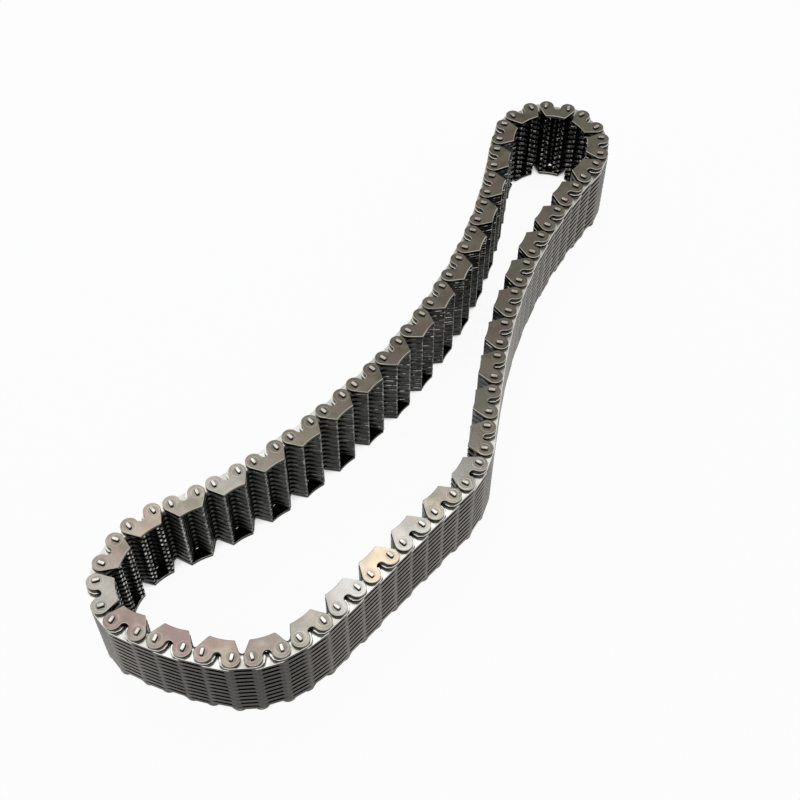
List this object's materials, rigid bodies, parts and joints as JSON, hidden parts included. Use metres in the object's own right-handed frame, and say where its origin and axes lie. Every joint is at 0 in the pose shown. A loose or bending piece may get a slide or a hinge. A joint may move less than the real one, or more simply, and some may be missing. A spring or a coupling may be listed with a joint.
{
  "type": "silent chain",
  "caption": "Endless silent chain of interleaved toothed link plates with guide plates and rocker pins, standing on edge in a waisted loop.",
  "frame": {"origin": "centre of the loop's box, at the level of the lower pin ends", "axes": "+X along the loop towards its tight end, +Z along the pins"},
  "size_m": [0.3566, 0.1082, 0.0425],
  "materials": {
    "guide_steel": "satin",
    "link_steel": "satin",
    "pin_steel": "satin"
  },
  "bodies": {
    "front_bend": {"rows_58_to_60": "link_steel", "rows_61_to_63": "link_steel"},
    "right_run": {"rows_73_to_75": "link_steel", "rows_76_to_78": "link_steel", "rows_79_to_81": "link_steel", "rows_82_to_83": "link_steel"},
    "left_run": {"rows_45_to_47": "link_steel", "rows_48_to_50": "link_steel", "rows_51_to_53": "link_steel", "rows_54_to_56": "link_steel"},
    "tight_bend_a": {"rows_17_to_19": "link_steel"},
    "tight_bend_b": {"rows_23_to_25": "link_steel"},
    "wide_bend": {"rows_65_to_66": "link_steel"},
    "right_pair": {"rows_70_to_71": "link_steel"},
    "guide_row_00": {"guide_row_00": "guide_steel"},
    "mid_row_01": {"mid_row_01": "link_steel"},
    "guide_row_02": {"guide_row_02": "guide_steel"},
    "mid_row_03": {"mid_row_03": "link_steel"},
    "guide_row_04": {"guide_row_04": "guide_steel"},
    "mid_row_05": {"mid_row_05": "link_steel"},
    "guide_row_06": {"guide_row_06": "guide_steel"},
    "mid_row_07": {"mid_row_07": "link_steel"},
    "guide_row_08": {"guide_row_08": "guide_steel"},
    "mid_row_09": {"mid_row_09": "link_steel"},
    "guide_row_10": {"guide_row_10": "guide_steel"},
    "mid_row_11": {"mid_row_11": "link_steel"},
    "guide_row_12": {"guide_row_12": "guide_steel"},
    "mid_row_13": {"mid_row_13": "link_steel"},
    "guide_row_14": {"guide_row_14": "guide_steel"},
    "mid_row_15": {"mid_row_15": "link_steel"},
    "guide_row_16": {"guide_row_16": "guide_steel"},
    "guide_row_20": {"guide_row_20": "guide_steel"},
    "mid_row_21": {"mid_row_21": "link_steel"},
    "guide_row_22": {"guide_row_22": "guide_steel"},
    "guide_row_26": {"guide_row_26": "guide_steel"},
    "mid_row_27": {"mid_row_27": "link_steel"},
    "guide_row_28": {"guide_row_28": "guide_steel"},
    "mid_row_29": {"mid_row_29": "link_steel"},
    "guide_row_30": {"guide_row_30": "guide_steel"},
    "mid_row_31": {"mid_row_31": "link_steel"},
    "guide_row_32": {"guide_row_32": "guide_steel"},
    "mid_row_33": {"mid_row_33": "link_steel"},
    "guide_row_34": {"guide_row_34": "guide_steel"},
    "mid_row_35": {"mid_row_35": "link_steel"},
    "guide_row_36": {"guide_row_36": "guide_steel"},
    "mid_row_37": {"mid_row_37": "link_steel"},
    "guide_row_38": {"guide_row_38": "guide_steel"},
    "mid_row_39": {"mid_row_39": "link_steel"},
    "guide_row_40": {"guide_row_40": "guide_steel"},
    "mid_row_41": {"mid_row_41": "link_steel"},
    "guide_row_42": {"guide_row_42": "guide_steel"},
    "mid_row_43": {"mid_row_43": "link_steel"},
    "guide_row_44": {"guide_row_44": "guide_steel"},
    "mid_row_57": {"mid_row_57": "link_steel"},
    "guide_row_64": {"guide_row_64": "guide_steel"},
    "mid_row_67": {"mid_row_67": "link_steel"},
    "guide_row_68": {"guide_row_68": "guide_steel"},
    "mid_row_69": {"mid_row_69": "link_steel"},
    "guide_row_72": {"guide_row_72": "guide_steel"}
  },
  "joints": [
    {"name": "swing_64", "type": "hinge", "parent": "guide_row_64", "child": "front_bend", "pos_m": [-0.16488, -0.01, 0.02124], "axis": [0, 0, 1], "range_deg": [-6, 6]},
    {"name": "rocker_65", "type": "hinge", "parent": "wide_bend", "child": "guide_row_64", "pos_m": [-0.16116, -0.01877, 0.02124], "axis": [0, 0, 1], "range_deg": [-6, 6]},
    {"name": "swing_67", "type": "hinge", "parent": "mid_row_67", "child": "wide_bend", "pos_m": [-0.14781, -0.03215, 0.02124], "axis": [0, 0, 1], "range_deg": [-6, 6]},
    {"name": "rocker_68", "type": "hinge", "parent": "guide_row_68", "child": "mid_row_67", "pos_m": [-0.13911, -0.03603, 0.02124], "axis": [0, 0, 1], "range_deg": [-6, 6]},
    {"name": "swing_69", "type": "hinge", "parent": "mid_row_69", "child": "guide_row_68", "pos_m": [-0.12995, -0.03864, 0.02124], "axis": [0, 0, 1], "range_deg": [-6, 6]},
    {"name": "rocker_70", "type": "hinge", "parent": "right_pair", "child": "mid_row_69", "pos_m": [-0.12052, -0.03996, 0.02124], "axis": [0, 0, 1], "range_deg": [-6, 6]},
    {"name": "swing_72", "type": "hinge", "parent": "guide_row_72", "child": "right_pair", "pos_m": [-0.10163, -0.04246, 0.02124], "axis": [0, 0, 1], "range_deg": [-6, 6]},
    {"name": "rocker_73", "type": "hinge", "parent": "right_run", "child": "guide_row_72", "pos_m": [-0.09218, -0.04362, 0.02124], "axis": [0, 0, 1], "range_deg": [-6, 6]},
    {"name": "sway", "type": "hinge", "parent": "guide_row_00", "child": "right_run", "pos_m": [0.00803, -0.03028, 0.02124], "axis": [0, 0, 1], "range_deg": [-4, 4]},
    {"name": "pinch", "type": "hinge", "parent": "mid_row_01", "child": "guide_row_00", "pos_m": [0.01666, -0.02625, 0.02124], "axis": [0, 0, 1], "range_deg": [-3, 3]},
    {"name": "rocker_02", "type": "hinge", "parent": "guide_row_02", "child": "mid_row_01", "pos_m": [0.02542, -0.02252, 0.02124], "axis": [0, 0, 1], "range_deg": [-4, 4]},
    {"name": "rocker_03", "type": "hinge", "parent": "mid_row_03", "child": "guide_row_02", "pos_m": [0.03431, -0.01909, 0.02124], "axis": [0, 0, 1], "range_deg": [-3, 3]},
    {"name": "rocker_04", "type": "hinge", "parent": "guide_row_04", "child": "mid_row_03", "pos_m": [0.0433, -0.01595, 0.02124], "axis": [0, 0, 1], "range_deg": [-4, 4]},
    {"name": "rocker_05", "type": "hinge", "parent": "mid_row_05", "child": "guide_row_04", "pos_m": [0.0524, -0.01312, 0.02124], "axis": [0, 0, 1], "range_deg": [-6, 6]},
    {"name": "rocker_06", "type": "hinge", "parent": "guide_row_06", "child": "mid_row_05", "pos_m": [0.06158, -0.0106, 0.02124], "axis": [0, 0, 1], "range_deg": [-4, 4]},
    {"name": "rocker_07", "type": "hinge", "parent": "mid_row_07", "child": "guide_row_06", "pos_m": [0.07085, -0.00839, 0.02124], "axis": [0, 0, 1], "range_deg": [-4, 4]},
    {"name": "rocker_08", "type": "hinge", "parent": "guide_row_08", "child": "mid_row_07", "pos_m": [0.08018, -0.00649, 0.02124], "axis": [0, 0, 1], "range_deg": [-6, 6]},
    {"name": "rocker_09", "type": "hinge", "parent": "mid_row_09", "child": "guide_row_08", "pos_m": [0.08957, -0.0049, 0.02124], "axis": [0, 0, 1], "range_deg": [-4, 4]},
    {"name": "rocker_10", "type": "hinge", "parent": "guide_row_10", "child": "mid_row_09", "pos_m": [0.09901, -0.00364, 0.02124], "axis": [0, 0, 1], "range_deg": [-3, 3]},
    {"name": "rocker_11", "type": "hinge", "parent": "mid_row_11", "child": "guide_row_10", "pos_m": [0.10849, -0.00269, 0.02124], "axis": [0, 0, 1], "range_deg": [-4, 4]},
    {"name": "rocker_12", "type": "hinge", "parent": "guide_row_12", "child": "mid_row_11", "pos_m": [0.118, -0.00206, 0.02124], "axis": [0, 0, 1], "range_deg": [-3, 3]},
    {"name": "rocker_13", "type": "hinge", "parent": "mid_row_13", "child": "guide_row_12", "pos_m": [0.12752, -0.00175, 0.02124], "axis": [0, 0, 1], "range_deg": [-4, 4]},
    {"name": "rocker_14", "type": "hinge", "parent": "guide_row_14", "child": "mid_row_13", "pos_m": [0.13704, -0.00176, 0.02124], "axis": [0, 0, 1], "range_deg": [-4, 4]},
    {"name": "rocker_15", "type": "hinge", "parent": "mid_row_15", "child": "guide_row_14", "pos_m": [0.14656, -0.0021, 0.02124], "axis": [0, 0, 1], "range_deg": [-4, 4]},
    {"name": "swing_16", "type": "hinge", "parent": "guide_row_16", "child": "mid_row_15", "pos_m": [0.15587, -0.00008, 0.02124], "axis": [0, 0, 1], "range_deg": [-6, 6]},
    {"name": "rocker_17", "type": "hinge", "parent": "tight_bend_a", "child": "guide_row_16", "pos_m": [0.16436, 0.00425, 0.02124], "axis": [0, 0, 1], "range_deg": [-6, 6]},
    {"name": "rocker_20", "type": "hinge", "parent": "tight_bend_a", "child": "guide_row_20", "pos_m": [0.17399, 0.02974, 0.02124], "axis": [0, 0, 1], "range_deg": [-6, 6]},
    {"name": "rocker_21", "type": "hinge", "parent": "guide_row_20", "child": "mid_row_21", "pos_m": [0.17026, 0.03851, 0.02124], "axis": [0, 0, 1], "range_deg": [-6, 6]},
    {"name": "rocker_22", "type": "hinge", "parent": "mid_row_21", "child": "guide_row_22", "pos_m": [0.16364, 0.04536, 0.02124], "axis": [0, 0, 1], "range_deg": [-6, 6]},
    {"name": "rocker_23", "type": "hinge", "parent": "guide_row_22", "child": "tight_bend_b", "pos_m": [0.15494, 0.04923, 0.02124], "axis": [0, 0, 1], "range_deg": [-6, 6]},
    {"name": "rocker_26", "type": "hinge", "parent": "tight_bend_b", "child": "guide_row_26", "pos_m": [0.12763, 0.04285, 0.02124], "axis": [0, 0, 1], "range_deg": [-4, 4]},
    {"name": "rocker_27", "type": "hinge", "parent": "guide_row_26", "child": "mid_row_27", "pos_m": [0.119, 0.03883, 0.02124], "axis": [0, 0, 1], "range_deg": [-3, 3]},
    {"name": "rocker_28", "type": "hinge", "parent": "mid_row_27", "child": "guide_row_28", "pos_m": [0.11023, 0.03509, 0.02124], "axis": [0, 0, 1], "range_deg": [-4, 4]},
    {"name": "rocker_29", "type": "hinge", "parent": "guide_row_28", "child": "mid_row_29", "pos_m": [0.10135, 0.03166, 0.02124], "axis": [0, 0, 1], "range_deg": [-3, 3]},
    {"name": "rocker_30", "type": "hinge", "parent": "mid_row_29", "child": "guide_row_30", "pos_m": [0.09235, 0.02852, 0.02124], "axis": [0, 0, 1], "range_deg": [-4, 4]},
    {"name": "rocker_31", "type": "hinge", "parent": "guide_row_30", "child": "mid_row_31", "pos_m": [0.08326, 0.02569, 0.02124], "axis": [0, 0, 1], "range_deg": [-6, 6]},
    {"name": "rocker_32", "type": "hinge", "parent": "mid_row_31", "child": "guide_row_32", "pos_m": [0.07407, 0.02317, 0.02124], "axis": [0, 0, 1], "range_deg": [-4, 4]},
    {"name": "rocker_33", "type": "hinge", "parent": "guide_row_32", "child": "mid_row_33", "pos_m": [0.06481, 0.02096, 0.02124], "axis": [0, 0, 1], "range_deg": [-4, 4]},
    {"name": "rocker_34", "type": "hinge", "parent": "mid_row_33", "child": "guide_row_34", "pos_m": [0.05548, 0.01906, 0.02124], "axis": [0, 0, 1], "range_deg": [-6, 6]},
    {"name": "rocker_35", "type": "hinge", "parent": "guide_row_34", "child": "mid_row_35", "pos_m": [0.04608, 0.01747, 0.02124], "axis": [0, 0, 1], "range_deg": [-4, 4]},
    {"name": "rocker_36", "type": "hinge", "parent": "mid_row_35", "child": "guide_row_36", "pos_m": [0.03664, 0.01621, 0.02124], "axis": [0, 0, 1], "range_deg": [-3, 3]},
    {"name": "rocker_37", "type": "hinge", "parent": "guide_row_36", "child": "mid_row_37", "pos_m": [0.02717, 0.01526, 0.02124], "axis": [0, 0, 1], "range_deg": [-4, 4]},
    {"name": "rocker_38", "type": "hinge", "parent": "mid_row_37", "child": "guide_row_38", "pos_m": [0.01766, 0.01463, 0.02124], "axis": [0, 0, 1], "range_deg": [-3, 3]},
    {"name": "rocker_39", "type": "hinge", "parent": "guide_row_38", "child": "mid_row_39", "pos_m": [0.00814, 0.01432, 0.02124], "axis": [0, 0, 1], "range_deg": [-4, 4]},
    {"name": "rocker_40", "type": "hinge", "parent": "mid_row_39", "child": "guide_row_40", "pos_m": [-0.00138, 0.01433, 0.02124], "axis": [0, 0, 1], "range_deg": [-4, 4]},
    {"name": "rocker_41", "type": "hinge", "parent": "guide_row_40", "child": "mid_row_41", "pos_m": [-0.0109, 0.01467, 0.02124], "axis": [0, 0, 1], "range_deg": [-4, 4]},
    {"name": "rocker_42", "type": "hinge", "parent": "mid_row_41", "child": "guide_row_42", "pos_m": [-0.0204, 0.0154, 0.02124], "axis": [0, 0, 1], "range_deg": [-6, 6]},
    {"name": "rocker_43", "type": "hinge", "parent": "guide_row_42", "child": "mid_row_43", "pos_m": [-0.02985, 0.01657, 0.02124], "axis": [0, 0, 1], "range_deg": [-6, 6]},
    {"name": "rocker_44", "type": "hinge", "parent": "mid_row_43", "child": "guide_row_44", "pos_m": [-0.0393, 0.01781, 0.02124], "axis": [0, 0, 1], "range_deg": [-6, 6]},
    {"name": "rocker_45", "type": "hinge", "parent": "guide_row_44", "child": "left_run", "pos_m": [-0.04873, 0.01913, 0.02124], "axis": [0, 0, 1], "range_deg": [-6, 6]},
    {"name": "rocker_57", "type": "hinge", "parent": "left_run", "child": "mid_row_57", "pos_m": [-0.15722, 0.04782, 0.02124], "axis": [0, 0, 1], "range_deg": [-6, 6]}
  ],
  "couplings": [
    {"joint": "rocker_65", "follows": "swing_64", "ratio": -1},
    {"joint": "rocker_68", "follows": "swing_67", "ratio": -1},
    {"joint": "rocker_70", "follows": "swing_69", "ratio": -1},
    {"joint": "rocker_73", "follows": "swing_72", "ratio": -1},
    {"joint": "rocker_02", "follows": "sway", "ratio": 1},
    {"joint": "rocker_03", "follows": "pinch", "ratio": 1},
    {"joint": "rocker_04", "follows": "sway", "ratio": 1},
    {"joint": "rocker_05", "follows": "pinch", "ratio": -2},
    {"joint": "rocker_06", "follows": "sway", "ratio": 1},
    {"joint": "rocker_07", "follows": "sway", "ratio": -1},
    {"joint": "rocker_08", "follows": "pinch", "ratio": -2},
    {"joint": "rocker_09", "follows": "sway", "ratio": -1},
    {"joint": "rocker_10", "follows": "pinch", "ratio": 1},
    {"joint": "rocker_11", "follows": "sway", "ratio": -1},
    {"joint": "rocker_12", "follows": "pinch", "ratio": 1},
    {"joint": "rocker_13", "follows": "sway", "ratio": -1},
    {"joint": "rocker_14", "follows": "sway", "ratio": 1},
    {"joint": "rocker_15", "follows": "sway", "ratio": -1},
    {"joint": "rocker_17", "follows": "swing_16", "ratio": -1},
    {"joint": "rocker_20", "follows": "swing_64", "ratio": -1},
    {"joint": "rocker_21", "follows": "swing_64", "ratio": 1},
    {"joint": "rocker_22", "follows": "swing_67", "ratio": -1},
    {"joint": "rocker_23", "follows": "swing_67", "ratio": 1},
    {"joint": "rocker_26", "follows": "sway", "ratio": -1},
    {"joint": "rocker_27", "follows": "pinch", "ratio": -1},
    {"joint": "rocker_28", "follows": "sway", "ratio": -1},
    {"joint": "rocker_29", "follows": "pinch", "ratio": -1},
    {"joint": "rocker_30", "follows": "sway", "ratio": -1},
    {"joint": "rocker_31", "follows": "pinch", "ratio": 2},
    {"joint": "rocker_32", "follows": "sway", "ratio": -1},
    {"joint": "rocker_33", "follows": "sway", "ratio": 1},
    {"joint": "rocker_34", "follows": "pinch", "ratio": 2},
    {"joint": "rocker_35", "follows": "sway", "ratio": 1},
    {"joint": "rocker_36", "follows": "pinch", "ratio": -1},
    {"joint": "rocker_37", "follows": "sway", "ratio": 1},
    {"joint": "rocker_38", "follows": "pinch", "ratio": -1},
    {"joint": "rocker_39", "follows": "sway", "ratio": 1},
    {"joint": "rocker_40", "follows": "sway", "ratio": -1},
    {"joint": "rocker_41", "follows": "sway", "ratio": 1},
    {"joint": "rocker_42", "follows": "swing_72", "ratio": -1},
    {"joint": "rocker_43", "follows": "swing_72", "ratio": 1},
    {"joint": "rocker_44", "follows": "swing_69", "ratio": -1},
    {"joint": "rocker_45", "follows": "swing_69", "ratio": 1},
    {"joint": "rocker_57", "follows": "swing_16", "ratio": -1}
  ]
}
